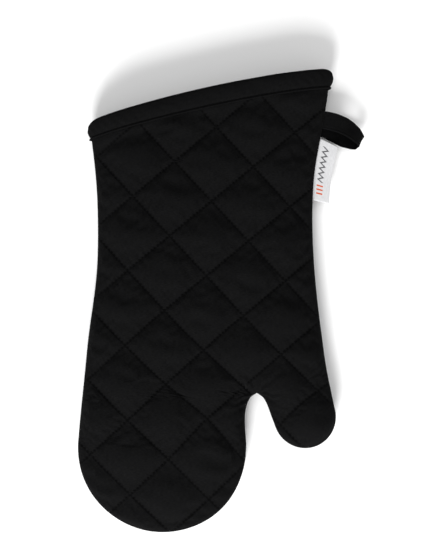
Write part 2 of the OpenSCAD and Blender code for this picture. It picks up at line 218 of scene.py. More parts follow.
def rows(side):
    # the rows of one grid, cuff first
    hand = side == "hand"
    edge, palmEnd = (leftEdge, palmEndLeft) if hand else (rightEdge, palmEndRight)
    part = (0, divideShare) if hand else (divideShare, 1)
    out = []
    for t in 1 - np.arange(gridSizes["palmRows"]) / gridSizes["palmRows"]:
        out.append(gridRow(*palmEnds(t), (float(hand), float(not hand)), mitt["cuffCrown"] * t**3, part))
    drop = mitt["forkDrop"]
    for t in np.arange(gridSizes["forkRows"]) / gridSizes["forkRows"]:
        middle, end = mix(divide, crotch, t), edgeAt(edge, palmEnd - drop * t)
        out.append(gridRow(end, middle, (1.0, t**3)) if hand else gridRow(middle, end, (t**3, 1.0)))
    m = gridSizes["crotchRows"]
    if hand:
        fullWidth = (fingerCentre[0] + fingerRadius - 0.6, crotch[1] - mitt["fingersDown"])
        curve = [crotch, *(crotch + step for step in mitt["fingerCorner"]),
                 fullWidth, fingerCentre + (fingerRadius, 0)]
        lastY = fingerCentre[1]
        centre, radius, across, along = fingerCentre, fingerRadius, np.array([1.0, 0]), np.array([0, -1.0])
    else:
        below = crotch + mitt["thumbStart"]
        curve = [crotch, crotch + mitt["thumbCorner"],
                 mix(thumbLeft, below, 0.8), mix(thumbLeft, below, 0.35), thumbLeft]
        lastY = thumbRight[1]
        centre, radius, across, along = thumbCentre, mitt["thumbRadius"], thumbAcross, thumbAlong
    inner, _ = alongCurve(curve, np.linspace(0, 1, m, endpoint=False))
    for y, end in zip(np.linspace(palmEnd - drop, lastY, m, endpoint=False), inner):
        out.append(gridRow(edgeAt(edge, y), end) if hand else gridRow(end, edgeAt(edge, y)))
    tipRows = gridSizes["tipRows" if hand else "thumbTipRows"]
    for j in range(tipRows + 1):
        angle = math.radians(88) * math.sin(math.pi / 2 * j / tipRows)
        middle = centre + along * radius * math.sin(angle)
        half = across * radius * math.cos(angle)
        out.append(gridRow(middle - half, middle + half, tip=(centre, radius, across, along, angle)))
    return out


rowLists = {side: rows(side) for side in ("hand", "thumb")}
columns = {"hand": gridSizes["handColumns"], "thumb": gridSizes["thumbColumns"]}


def planGrid(side, inset):
    # plan points of a surface that lies inset inside the outer cloth
    grid = []
    for row in rowLists[side]:
        left, right, part = row["left"], row["right"], row["part"]
        leftSewn, rightSewn = row["sewn"]
        if row["tip"]:
            centre, radius, across, along, angle = row["tip"]
            middle = centre + along * (radius - inset) * math.sin(angle)
            half = across * (radius - inset) * math.cos(angle)
            a, b = middle - half, middle + half
        else:
            way = unit(right - left)
            palmRow = part != (0, 1)
            a = left + way * inset * (1 if palmRow else leftSewn)
            b = right - way * inset * (1 if palmRow else rightSewn)
        s = mix(part[0], part[1], spacing(columns[side], leftSewn, rightSewn))
        points = a + (b - a) * s[:, None]
        points[:, 1] += row["crown"] * 4 * s * (1 - s)
        grid.append(points)
    return np.array(grid)


palmCount = gridSizes["palmRows"]
sewnCount = palmCount + gridSizes["forkRows"]
basePlan = {side: planGrid(side, 0) for side in rowLists}
cuffBeyond = [edgeAt(leftEdge, mitt["cuffLeftY"]) + (-1.5, 10), edgeAt(rightEdge, cuffRightY) + (0.5, 10)]
seam = np.concatenate([
    [cuffBeyond[0]], basePlan["hand"][:, 0], basePlan["hand"][:sewnCount - 1:-1, -1],
    basePlan["thumb"][sewnCount + 1:, 0], basePlan["thumb"][::-1, -1], [cuffBeyond[1]]])


def seamDepth(points):
    # the distance to the seam near an edge, and less where edges close in from several sides
    points = np.asarray(points, float)
    flat = points.reshape(-1, 2)
    a, b = seam[:-1], seam[1:]
    length = np.linalg.norm(b - a, axis=1)
    keep = length > 1e-6
    a, b, length = a[keep], b[keep], length[keep]
    u = (b - a) / length[:, None]
    out = np.empty(len(flat))
    for i in range(0, len(flat), 4000):
        d = flat[i:i + 4000, None, :] - a[None]
        s = (d * u[None]).sum(-1)
        h = np.maximum((d * d).sum(-1) - s * s, 1e-8)
        pull = (s / np.sqrt(s * s + h) + (length - s) / np.sqrt((length - s) ** 2 + h)) / h
        out[i:i + 4000] = np.sqrt(2 / pull.sum(1))
    return out.reshape(points.shape[:-1])


def dome(depth):
    power = mitt["domePower"]
    return (1 - (1 - np.minimum(1, depth / mitt["domeWidth"])) ** power) ** (1 / power)


def frontRise(y):
    inPalm = ramp(-170, -60, y) * (1 - ramp(40, 150, y))
    return mix(mitt["endRise"], mitt["frontRise"], inPalm)


# ---- quilting

quilt = {
    "diamondWidth": 58.5, "diamondLength": 55.3,
    "crossing": (-0.4, 18.6),  # one place where two stitch lines cross
    "turn": -0.024,            # of the whole grid, in radians
    "drift": 0.1, "driftStart": -20,   # the lines lean outwards below this level
    # where the sewing pulled the lines out of true: centre, reach and shift
    "pulls": (((78, -74), 34, (-5, 4.5)), ((10, -88), 32, (0.5, 5.2))),
    "puff": 5.0,            # height of a diamond over its stitch lines
    "liningPuff": 1.6,
    "fullness": 0.72,       # lower is flatter on top and steeper at the stitches
    "lineSoftness": 0.6,    # half width of the crease along a stitch line
    "level": 0.55,          # share of the puff at which the cloth keeps its drawn height
    "liningLevel": 0.3,
    "seamDip": 1.0, "seamReach": 1.1,
    "swell": 0.35, "swellSize": 34, "swellStretch": (0.7, 1.5),   # slow waves in the pillows
    "roll": 0.3, "rollSize": 90,                                  # and in the whole panel
}
pucker = {"height": 0.22, "pitch": 7.5, "wander": 2.2, "wanderSize": 24, "patchSize": 40,
          "away": 3.2, "width": 3.0}
fan = {"folds": 10, "height": 1.15, "reach": 16, "bend": 1.6, "wander": 1.4, "wanderSize": 14}


def pulled(p):
    total = np.zeros(p.shape)
    for centre, reach, shift in quilt["pulls"]:
        away = np.linalg.norm(p - np.array(centre, float), axis=-1, keepdims=True)
        total = total + np.exp(-(away / reach) ** 2) * np.array(shift, float)
    return total


def quiltPhases(p):
    # whole numbers on the two families of stitch lines
    p = p[..., :2] - pulled(p[..., :2])
    x = p[..., 0] - quilt["crossing"][0] - quilt["drift"] * np.maximum(0, quilt["driftStart"] - p[..., 1])
    y = p[..., 1] - quilt["crossing"][1]
    cosine, sine = math.cos(quilt["turn"]), math.sin(quilt["turn"])
    side = (x * cosine - y * sine) / quilt["diamondWidth"]
    rise = (x * sine + y * cosine) / quilt["diamondLength"]
    return side - rise, side + rise


def linePoints(family, own, other):
    # the places that have these two numbers, own on their own family of lines
    first, second = (own, other) if family == 0 else (other, own)
    side = (first + second) / 2 * quilt["diamondWidth"]
    rise = (second - first) / 2 * quilt["diamondLength"]
    cosine, sine = math.cos(quilt["turn"]), math.sin(quilt["turn"])
    y = quilt["crossing"][1] - side * sine + rise * cosine
    x = quilt["crossing"][0] + side * cosine + rise * sine
    plain = np.stack([x + quilt["drift"] * np.maximum(0, quilt["driftStart"] - y), y], -1)
    place = plain
    for _ in range(12):
        place = plain + pulled(place)
    return place


# lineGap lies between two lines of a family, and lineStep between two crossings on a line
diagonal = math.hypot(quilt["diamondWidth"], quilt["diamondLength"])
lineGap = quilt["diamondWidth"] * quilt["diamondLength"] / diagonal
lineStep = diagonal / 2


def lineDistance(phase):
    return np.abs(phase - np.round(phase)) * lineGap


def quiltRelief(p):
    # 0 on the stitch lines and 1 in the middle of a diamond
    out = 1.0
    for phase in quiltPhases(p):
        distance = lineDistance(phase)
        soft = np.sqrt(distance**2 + quilt["lineSoftness"]**2) - quilt["lineSoftness"] * 0.8
        out = out * np.sin(np.pi * np.minimum(soft / lineGap, 0.5))
    return out ** quilt["fullness"]


def waveNoise(p, size, seed, count=24, stretch=(1.0, 1.0)):
    # smooth noise of about unit height, a sum of waves in fixed random directions
    pick = np.random.default_rng(seed)
    total = np.zeros(p.shape[:-1])
    for _ in range(count):
        angle = pick.uniform(0, 2 * math.pi)
        length = size * pick.uniform(0.7, 1.5)
        k = np.array([math.cos(angle) * stretch[0], math.sin(angle) * stretch[1]]) * 2 * math.pi / length
        total += np.cos(p @ k + pick.uniform(0, 2 * math.pi))
    return total / math.sqrt(count / 2)


def puckers(p):
    # short ripples that run out of the stitch lines
    total = np.zeros(p.shape[:-1])
    phases = quiltPhases(p)
    for n, phase in enumerate(phases):
        other = phases[1 - n] * lineGap
        wander = pucker["wander"] * waveNoise(p, pucker["wanderSize"], 11 + n)
        ripple = np.cos(2 * math.pi * other / pucker["pitch"] + wander)
        strength = 0.5 + 0.5 * np.clip(waveNoise(p, pucker["patchSize"], 31 + n), -1, 1)
        near = np.exp(-((lineDistance(phase) - pucker["away"]) / pucker["width"]) ** 2)
        total += pucker["height"] * ripple * strength * near
    return total


def crotchPuckers(p, depth):
    # folds that fan out of the inner corner, where the clipped seam pulls
    away = p - crotch
    radius = np.linalg.norm(away, axis=-1)
    angle = np.arctan2(away[..., 1], away[..., 0])
    bend = fan["bend"] * np.sin(3 * angle + 1.0) + fan["wander"] * waveNoise(p, fan["wanderSize"], 41)
    fade = ramp(2, 7, radius) * np.exp(-(radius / fan["reach"]) ** 2) * ramp(0.3, 3, depth)
    return fan["height"] * np.cos(fan["folds"] * angle + bend) * fade


def gridNormals(points):
    return unit(np.cross(np.gradient(points, axis=1), np.gradient(points, axis=0)))


def cuffShare(p):
    # 0 at the start of the palm and 1 at the cuff's edge
    across = (p[..., 0] + mitt["waistLeft"]) / (mitt["waistLeft"] + mitt["waistRight"])
    low = mix(palmEndLeft, palmEndRight, across)
    crown = mitt["cuffCrown"] * 4 * across * (1 - across)
    return (p[..., 1] - low) / (mix(mitt["cuffLeftY"], cuffRightY, across) + crown - low)


depthOf = {side: seamDepth(basePlan[side]) for side in basePlan}


def restOn(z, level, softness):
    # heights kept above a level, with a soft bend where they reach it
    return level + np.logaddexp(0, (z - level) / softness) * softness


def panelHeight(plan, depth, share, inset, face):
    f = dome(depth)
    half = mitt["panelGap"] / 2
    if face == "front":
        return seamHeight + half + (frontRise(plan[..., 1]) - inset) * f
    low = seamHeight - half - (mitt["backDepth"] - inset) * f
    rest = mitt["backRest"] + inset + mitt["bindingThickness"] * ramp(*mitt["bindingLift"], share)
    return np.minimum(restOn(low, rest, mitt["restSoftness"]), seamHeight - half)


tableRest = (0.02, 0.25)


def panelSurface(side, face, inset, relief):
    base = basePlan[side]
    plan = base if inset == 0 else planGrid(side, inset)
    depth = depthOf[side]
    share = cuffShare(base)
    z = panelHeight(base, depth, share, inset, face)
    points = np.concatenate([plan, z[..., None]], -1)
    outwards = gridNormals(points)
    outwards *= np.where(outwards[..., 2:] * (1 if face == "front" else -1) < 0, -1, 1)
    free = 1 - ramp(*mitt["bindingCover"], share)
    fade = ramp(0.5, 9, depth) * free
    if inset == 0:
        pillow = quiltRelief(plan)
        swell = quilt["swell"] * waveNoise(plan, quilt["swellSize"], 5, stretch=quilt["swellStretch"])
        height = relief * (pillow - quilt["level"]) * fade
        height += (swell * pillow + puckers(plan)) * fade
        height += quilt["roll"] * waveNoise(plan, quilt["rollSize"], 8) * free
        height += crotchPuckers(plan, depth)
        # the seam is drawn in between the two rounded edges
        height -= quilt["seamDip"] * np.exp(-np.abs(z - seamHeight) / quilt["seamReach"])
    else:
        height = -relief * (quiltRelief(plan) - quilt["liningLevel"]) * fade
    return points, outwards, height


def numberGrids(shapes, sharedRows):
    # point numbers of both grids, and which points are new: the thumb starts on the hand's last column
    ids, new, count = {}, {}, 0
    for side in ("hand", "thumb"):
        ids[side] = np.full(shapes[side], -1)
        if side == "thumb":
            ids[side][:sharedRows, 0] = ids["hand"][:sharedRows, -1]
        new[side] = ids[side] < 0
        ids[side][new[side]] = count + np.arange(new[side].sum())
        count += int(new[side].sum())
    return ids, new


def gridQuads(ids, closedRows=0, closedColumns=0):
    # the quads of a grid of point numbers, which may close on itself
    ids = np.pad(ids, ((0, closedRows), (0, closedColumns)), mode="wrap")
    return np.stack([ids[:-1, :-1], ids[:-1, 1:], ids[1:, 1:], ids[1:, :-1]], -1)


def newObject(name, data):
    obj = bpy.data.objects.new(name, data)
    bpy.context.scene.collection.objects.link(obj)
    return obj


def addUv(mesh, name, uv):
    layer = mesh.uv_layers.new(name=name)
    loops = np.zeros(len(mesh.loops), int)
    mesh.loops.foreach_get("vertex_index", loops)
    layer.data.foreach_set("uv", np.asarray(uv)[loops].astype(np.float32).ravel())


def makeMesh(name, vertices, faces, uv=None, material=None):
    mesh = bpy.data.meshes.new(name)
    mesh.from_pydata((np.asarray(vertices) * mm).tolist(), [], [list(map(int, f)) for f in faces])
    mesh.update()
    mesh.polygons.foreach_set("use_smooth", [True] * len(mesh.polygons))
    if uv is not None:
        addUv(mesh, "UVMap", uv)
    if material is not None:
        mesh.materials.append(material)
    return newObject(name, mesh)


cloth = {
    "fullness": -0.018, "pressure": 4.0, "frames": 18, "bending": 3.0,
    "mostMove": 2.2,            # no point moves further than this
    # the cloth is held at the near distance and free at the far one
    "linesHold": (1.0, 3.4), "seamHolds": (2, 5), "bindingHolds": (0.9, 0.92),
    "holdLevels": 10,
}


def clothWrinkles(face, grids):
    # the outer cloth, stitched down along the quilting lines and blown out between them
    coarse = {side: plain[::2, ::2] + outwards[::2, ::2] * height[::2, ::2, None]
              for side, (plain, outwards, height) in grids.items()}
    ids, new = numberGrids({side: p.shape[:2] for side, p in coarse.items()}, sewnCount // 2 + 1)
    points, pins, faces = [], [], []
    for side, p in coarse.items():
        plan = basePlan[side][::2, ::2]
        nearest = np.min([lineDistance(phase) for phase in quiltPhases(plan)], axis=0)
        pin = np.maximum.reduce([1 - ramp(*cloth["linesHold"], nearest),
                                 1 - ramp(*cloth["seamHolds"], depthOf[side][::2, ::2]),
                                 ramp(*cloth["bindingHolds"], cuffShare(plan))])
        points.append(p[new[side]])
        pins.append(pin[new[side]])
        q = gridQuads(ids[side]).reshape(-1, 4)
        faces.append(q[:, ::-1] if face == "front" else q)
    points, pins = np.concatenate(points), np.concatenate(pins)
    sheet = makeMesh("clothSheet", points, np.concatenate(faces))
    group = sheet.vertex_groups.new(name="stitched")
    levels = cloth["holdLevels"]
    for level in range(1, levels + 1):
        chosen = np.nonzero(np.round(pins * levels).astype(int) == level)[0]
        group.add(chosen.tolist(), level / levels, "REPLACE")
    modifier = sheet.modifiers.new("cloth", "CLOTH")
    setup = modifier.settings
    setup.quality = 6
    setup.mass = 0.1
    setup.tension_stiffness = setup.compression_stiffness = 20
    setup.shear_stiffness = 8
    setup.bending_stiffness = cloth["bending"]
    setup.vertex_group_mass = "stitched"
    setup.pin_stiffness = 1
    setup.shrink_min = cloth["fullness"]
    setup.use_pressure = True
    setup.uniform_pressure_force = cloth["pressure"]
    setup.effector_weights.gravity = 0
    modifier.collision_settings.use_collision = False
    modifier.point_cache.frame_start = 1
    modifier.point_cache.frame_end = cloth["frames"]
    scene = bpy.context.scene
    for frameNumber in range(1, cloth["frames"] + 1):
        scene.frame_set(frameNumber)
    done = sheet.evaluated_get(bpy.context.evaluated_depsgraph_get())
    moved = np.empty(points.size)
    done.data.vertices.foreach_get("co", moved)
    moved = moved.reshape(-1, 3) / mm - points
    mesh = sheet.data
    bpy.data.objects.remove(sheet)
    bpy.data.meshes.remove(mesh)
    scene.frame_set(1)
    size = np.linalg.norm(moved, axis=1, keepdims=True)
    moved *= cloth["mostMove"] * np.tanh(size / cloth["mostMove"]) / np.maximum(size, 1e-6)
    print("cloth:", face, len(points), "points, moved", round(float(size.mean()), 2), "mm, most",
          round(float(size.max()), 2))
    return {side: finer(finer(moved[ids[side]], 0), 1) for side in ids}


def finer(values, axis):
    # twice as many steps along one axis, with a smooth curve through the given values
    v = np.moveaxis(values, axis, 0)
    padded = np.concatenate([2 * v[:1] - v[1:2], v, 2 * v[-1:] - v[-2:-1]])
    middle = (9 * (padded[1:-2] + padded[2:-1]) - padded[:-3] - padded[3:]) / 16
    out = np.empty((2 * len(v) - 1, *v.shape[1:]))
    out[::2], out[1::2] = v, middle
    return np.moveaxis(out, 0, axis)


def panelMesh(face, puff):
    # vertices of the outer cloth and of the lining, and the quads of the outer cloth by piece
    grids = {side: panelSurface(side, face, 0, puff) for side in ("hand", "thumb")}
    wrinkles = clothWrinkles(face, grids)
    ids, new = numberGrids({side: basePlan[side].shape[:2] for side in grids}, sewnCount + 1)
    vertices, lining, clothUv, quads = [], [], [], {}
    for side, (plain, outwards, height) in grids.items():
        outer = plain + outwards * height[..., None]
        if wrinkles:
            outer = outer + wrinkles[side]
        plain, outwards, height = panelSurface(side, face, mitt["wall"], quilt["liningPuff"])
        inner = plain + outwards * height[..., None]
        if face == "back":
            outer[..., 2] = restOn(outer[..., 2], *tableRest)
        # cloth coordinates: across by the cloth's own length, and along the mitt
        steps = np.linalg.norm(np.diff(outer, axis=1), axis=2)
        middle = outer.shape[1] // 2 if side == "hand" else 0
        walk = np.concatenate([np.zeros((len(outer), 1)), np.cumsum(steps, 1)], 1)
        u = basePlan[side][:, middle, 0][:, None] + walk - walk[:, middle][:, None]
        vertices.append(outer[new[side]])
        lining.append(inner[new[side]])
        clothUv.append(np.stack([u, basePlan[side][..., 1]], -1)[new[side]])
        q = gridQuads(ids[side])
        quads[side] = q[..., ::-1] if face == "front" else q
    hand = np.concatenate([quads["hand"].reshape(-1, 4), quads["thumb"][:palmCount].reshape(-1, 4)])
    thumb = quads["thumb"][palmCount:].reshape(-1, 4)
    return (*map(np.concatenate, (vertices, lining, clothUv)), {"hand": hand, "thumb": thumb})


def vertexNormals(vertices, faces):
    faces = np.asarray(faces)
    a, b, c, d = (vertices[faces[:, k]] for k in range(4))
    n = np.cross(c - a, d - b)
    out = np.zeros_like(vertices)
    for k in range(4):
        np.add.at(out, faces[:, k], n)
    return unit(out)


def closedPanel(name, outer, inner, uv, allQuads, quads, outerCloth, liningCloth):
    # outer cloth, lining and the wall between them along every open edge
    edges = {}
    for q in quads:
        for k in range(4):
            a, b = int(q[k]), int(q[(k + 1) % 4])
            if (b, a) in edges:
                del edges[(b, a)]
            else:
                edges[(a, b)] = True
    count = len(outer)
    wall = np.array([[b, a, a + count, b + count] for a, b in edges])
    inside = quads[:, ::-1] + count
    faces = np.concatenate([quads, inside, wall])
    normals = np.concatenate([vertexNormals(outer, allQuads), vertexNormals(inner, allQuads[:, ::-1])])
    used = np.unique(faces)
    remap = np.full(2 * count, -1)
    remap[used] = np.arange(len(used))
    vertices = np.concatenate([outer, inner])[used]
    obj = makeMesh(name, vertices, remap[faces], np.concatenate([uv, uv])[used], outerCloth)
    addUv(obj.data, "quilting", np.stack(quiltPhases(vertices), -1))
    obj.data.materials.append(liningCloth)
    obj.data.polygons.foreach_set("material_index", (np.arange(len(faces)) >= len(quads)).astype(int))
    # the wall stands square to both cloths, so it gets normals of its own
    loopVertex = np.zeros(len(obj.data.loops), int)
    obj.data.loops.foreach_get("vertex_index", loopVertex)
    loopNormals = normals[used][loopVertex]
    first = 4 * (len(quads) + len(inside))
    polygonNormals = np.zeros(3 * len(obj.data.polygons))
    obj.data.polygons.foreach_get("normal", polygonNormals)
    polygonNormals = polygonNormals.reshape(-1, 3)[len(quads) + len(inside):]
    loopNormals[first:] = np.repeat(polygonNormals, 4, axis=0)
    obj.data.normals_split_custom_set(loopNormals.tolist())
    return obj


# ---- materials

stitching = {
    "pitch": 2.9, "length": 2.0, "thread": 0.6, "sink": 0.08,
    "creaseWidth": 0.9, "tuckPitch": 6.5, "tuckReach": 3.6,
}


def setInputs(node, values):
    for name, value in values.items():
        node.inputs[name].default_value = value


def nodeGroup(name, inputs, outputs):
    group = bpy.data.node_groups.new(name, "ShaderNodeTree")
    for label, kind, default in inputs:
        socket = group.interface.new_socket(label, in_out="INPUT", socket_type=kind)
        if default is not None:
            socket.default_value = default
    for label in outputs:
        group.interface.new_socket(label, in_out="OUTPUT", socket_type="NodeSocketFloat")
    given, out = group.nodes.new("NodeGroupInput"), group.nodes.new("NodeGroupOutput")
    split = group.nodes.new("ShaderNodeSeparateXYZ")
    group.links.new(given.outputs["Vector"], split.inputs[0])
    return group, given, out, split.outputs


def mathNode(tree, operation, *values):
    node = tree.nodes.new("ShaderNodeMath")
    node.operation = operation
    for socket, value in zip(node.inputs, values):
        if isinstance(value, (int, float)):
            socket.default_value = value
        else:
            tree.links.new(value, socket)
    return node.outputs[0]


def noiseNode(tree, vector, scale, detail):
    node = tree.nodes.new("ShaderNodeTexNoise")
    setInputs(node, {"Scale": scale, "Detail": detail})
    tree.links.new(vector, node.inputs["Vector"])
    return node.outputs[0]


def mixColour(tree, factor, *colours):
    node = tree.nodes.new("ShaderNodeMix")
    node.data_type = "RGBA"
    tree.links.new(factor, node.inputs["Factor"])
    for name, colour in zip(("A", "B"), colours):
        if isinstance(colour, tuple):
            node.inputs[name].default_value = (*colour, 1)
        else:
            tree.links.new(colour, node.inputs[name])
    return node.outputs["Result"]


def bumpNode(tree, height, strength, distance):
    node = tree.nodes.new("ShaderNodeBump")
    setInputs(node, {"Strength": strength, "Distance": distance * mm})
    tree.links.new(height, node.inputs["Height"])
    return node


def weaveGroup():
    # a plain weave: over and under threads, with slubs, from cloth coordinates in millimetres
    group, given, out, axes = nodeGroup("clothWeave", [
        ("Vector", "NodeSocketVector", None), ("Threads per mm", "NodeSocketFloat", 2.2),
        ("Slub", "NodeSocketFloat", 0.4)], ("Height", "Shade"))
    calc = partial(mathNode, group)
    pitch = calc("MULTIPLY", given.outputs["Threads per mm"], math.pi)
    warp, weft = (calc("SINE", calc("MULTIPLY", axes[k], pitch)) for k in (0, 1))
    over = calc("ABSOLUTE", calc("MULTIPLY", warp, weft))
    stretch = group.nodes.new("ShaderNodeMapping")
    stretch.inputs["Scale"].default_value = (0.45, 2.2, 1)   # slubs run across, along the weft
    group.links.new(given.outputs["Vector"], stretch.inputs[0])
    slubs = noiseNode(group, stretch.outputs[0], 0.9, 4)
    fuzz = noiseNode(group, given.outputs["Vector"], 3.1, 5)
    height = calc("ADD", over, calc("MULTIPLY", slubs, given.outputs["Slub"]))
    height = calc("ADD", height, calc("MULTIPLY", fuzz, 0.6))
    shade = calc("MULTIPLY_ADD", over, 0.35, calc("MULTIPLY_ADD", slubs, 1.9, -0.5))
    group.links.new(height, out.inputs["Height"])
    group.links.new(shade, out.inputs["Shade"])
    return group


weave = weaveGroup()


def creaseGroup():
    # how deep the cloth is drawn in near a stitch line, 1 on the line, with a tuck at every stitch
    group, _, out, axes = nodeGroup("quiltCrease", [("Vector", "NodeSocketVector", None)],
                                    ("Crease", "Shadow", "Tucks"))
    calc = partial(mathNode, group)

    def bell(distance, width):
        near = calc("POWER", calc("MULTIPLY", distance, 1 / width), 2.0)
        return calc("EXPONENT", calc("MULTIPLY", near, -1.0))

    def beat(operation, along, pitch):
        return calc(operation, calc("MULTIPLY", along, 2 * math.pi * lineStep / pitch))

    creases, shadows, tucks = [], [], []
    for own, other in ((0, 1), (1, 0)):
        distance = calc("MULTIPLY", calc("PINGPONG", axes[own], 0.5), lineGap)
        creases.append(bell(distance, stitching["creaseWidth"]))
        stitch = beat("COSINE", axes[other], stitching["pitch"])
        shadows.append(calc("MULTIPLY", creases[-1], calc("MULTIPLY_ADD", stitch, 0.45, 0.55)))
        ripple = beat("SINE", axes[other], stitching["tuckPitch"])
        tucks.append(calc("MULTIPLY", ripple, bell(distance, stitching["tuckReach"])))
    for name, operation, pair in (("Crease", "MAXIMUM", creases), ("Shadow", "MAXIMUM", shadows),
                                  ("Tucks", "ADD", tucks)):
        group.links.new(calc(operation, *pair), out.inputs[name])
    return group


def newMaterial(name, values):
    material = bpy.data.materials.new(name)
    material.use_nodes = True
    tree = material.node_tree
    shader = tree.nodes["Principled BSDF"]
    setInputs(shader, values)
    return material, tree, shader


def wovenCloth(tree, threads, slub):
    # the weave on a cloth's own coordinates: its outputs, and the coordinates
    coords = tree.nodes.new("ShaderNodeTexCoord").outputs["UV"]
    node = tree.nodes.new("ShaderNodeGroup")
    node.node_tree = weave
    setInputs(node, {"Threads per mm": threads, "Slub": slub})
    tree.links.new(coords, node.inputs["Vector"])
    return node.outputs, coords


def clothMaterial(name, dark, light, threads=2.2, bump=0.6, quilted=False):
    material, tree, shader = newMaterial(name, {
        "Roughness": 0.85, "Specular IOR Level": 0.008, "Sheen Weight": 0.01, "Sheen Roughness": 0.4,
        "Sheen Tint": (0.85, 0.85, 0.87, 1)})
    woven, _ = wovenCloth(tree, threads, 0.4)
    shown = mixColour(tree, woven["Shade"], dark, light)
    relief = bumpNode(tree, woven["Height"], bump, 0.15)
    if quilted:
        lines = tree.nodes.new("ShaderNodeUVMap")
        lines.uv_map = "quilting"
        crease = tree.nodes.new("ShaderNodeGroup")
        crease.node_tree = creaseGroup()
        tree.links.new(lines.outputs[0], crease.inputs[0])
        shadow = mathNode(tree, "MULTIPLY", crease.outputs["Shadow"], 0.72)
        shown = mixColour(tree, shadow, shown, tuple(0.35 * value for value in dark))
        drawnIn = mathNode(tree, "MULTIPLY", crease.outputs["Crease"], -1.2)
        height = mathNode(tree, "MULTIPLY_ADD", crease.outputs["Tucks"], 0.35, drawnIn)
        tree.links.new(bumpNode(tree, height, 0.8, 0.5).outputs[0], relief.inputs["Normal"])
    tree.links.new(shown, shader.inputs["Base Color"])
    tree.links.new(relief.outputs[0], shader.inputs["Normal"])
    return material


cottonBlack = ((0.0022, 0.0022, 0.0023), (0.0067, 0.0067, 0.0069))
blackCotton = clothMaterial("blackCotton", *cottonBlack, quilted=True)
liningCotton = clothMaterial("liningCotton", (0.0036, 0.0036, 0.0038), (0.0095, 0.0095, 0.0098), 2.6, 0.5)
biasCotton = clothMaterial("biasCotton", *cottonBlack)
# a darker copy of the black cotton: painted shade for the inside of the hanging loop
paintedShadeCotton = clothMaterial("paintedShadeCotton", (0.0009, 0.0009, 0.001), (0.003, 0.003, 0.0031))

# ---- panels

allPanels = {}
for face in ("front", "back"):
    outer, inner, uv, quads = panelMesh(face, quilt["puff"])
    every = np.concatenate([quads["hand"], quads["thumb"]])
    for part in ("hand", "thumb"):
        allPanels[face, part] = closedPanel(f"{face}_panel_{part}", outer, inner, uv, every, quads[part],
                                            blackCotton, liningCotton)
    print("panel:", face, len(outer), "points", [len(quads[p]) for p in quads])

zones = {"hand": ("palm", "knuckle", "fingers"), "thumb": ("thumb_base", "thumb")}


def followPart(piece, part):
    # bakes the piece's transform into its mesh, the same for the hand and the thumb
    if part == "hand":
        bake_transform(piece)
    else:
        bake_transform(piece)


for (face, part), panel in allPanels.items():
    plies = ("outer", "batting", "lining")
    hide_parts(*[f"{ply}_{face}_{zone}" for ply in plies for zone in zones[part]])
    followPart(panel, part)

# ---- cuff binding: folded tape round the mouth

binding = {
    "columns": 150,
    "cornerDip": 3.5,     # the ends of the cuff are rounded off
    "ripple": 0.22, "ripplePitch": 7.0, "wander": 1.8, "wanderSize": 33,
    "swell": 0.28, "swellSize": 26,
    "shownAt": 6.5, "shownReach": 5.0,   # the ripples fade away from the middle of the tape's face
    "stitchLine": -11.3,
}
palmSide = (mitt["cuffLeftY"] - palmEndLeft + cuffRightY - palmEndRight) / 2
# the tape's section: how far out of the cloth, and how far past the cuff's edge
bindingSection = [
    (0.3, -12.7), (0.9, -13.2), (1.6, -12.95), (1.65, -12.2), (0.55, -11.3), (1.35, -10.4), (1.95, -9),
    (2.3, -6.8), (2.4, -4.4), (2.15, -2), (1.6, 0), (0.5, 1.2), (-1.2, 1.7), (-2.8, 1.75), (-4.4, 1.6),
    (-5.8, 1), (-6.7, 0), (-7.2, -2), (-7.35, -4.4), (-7.2, -6.8), (-6.8, -9), (-6.3, -10.4), (-5.95, -11.3),
    (-6.25, -12.1), (-6.25, -12.8), (-5.9, -13.1), (-5.4, -12.7), (-5.25, -8), (-5.2, -0.4), (-2.5, -0.2),
    (0.1, -0.4), (0.15, -8),
]


def mouthPoints(out, along, face, s):
    # points round the mouth, out from the outer cloth and along past the cuff's edge
    edgeGap = np.minimum(s, 1 - s) * (mitt["cuffLeft"] + mitt["cuffRight"])
    reach = 1 - np.minimum(1, edgeGap / (2 * binding["cornerDip"]))
    dip = binding["cornerDip"] * (1 - np.sqrt(1 - reach**2))
    along = along - dip * ramp(-9, 1.5, along)
    share = 1 + along / palmSide
    left, right = palmEnds(share)
    way = unit(right - left)
    crown = mitt["cuffCrown"] * share**3 * 4 * s * (1 - s)

    def across(o):
        p = mix(left - way * o, right + way * o, s[:, None])
        p[:, 1] += crown
        return p
    base = across(0)
    z = panelHeight(base, seamDepth(base), share, -out, face)
    return np.concatenate([across(out), z[:, None]], -1)


def cutCorners(points):
    # a rounder closed outline
    p = np.array(points, float)
    after = np.roll(p, -1, axis=0)
    return np.stack([0.75 * p + 0.25 * after, 0.25 * p + 0.75 * after], 1).reshape(-1, 2)


def tapeNormals(grid):
    # out of a closed tape, whose third row lies on the front face
    a = np.roll(grid, -1, 0) - np.roll(grid, 1, 0)
    b = np.roll(grid, -1, 1) - np.roll(grid, 1, 1)
    n = unit(np.cross(a, b))
    return -n if np.sum(n[2, :, 2][:binding["columns"]]) < 0 else n


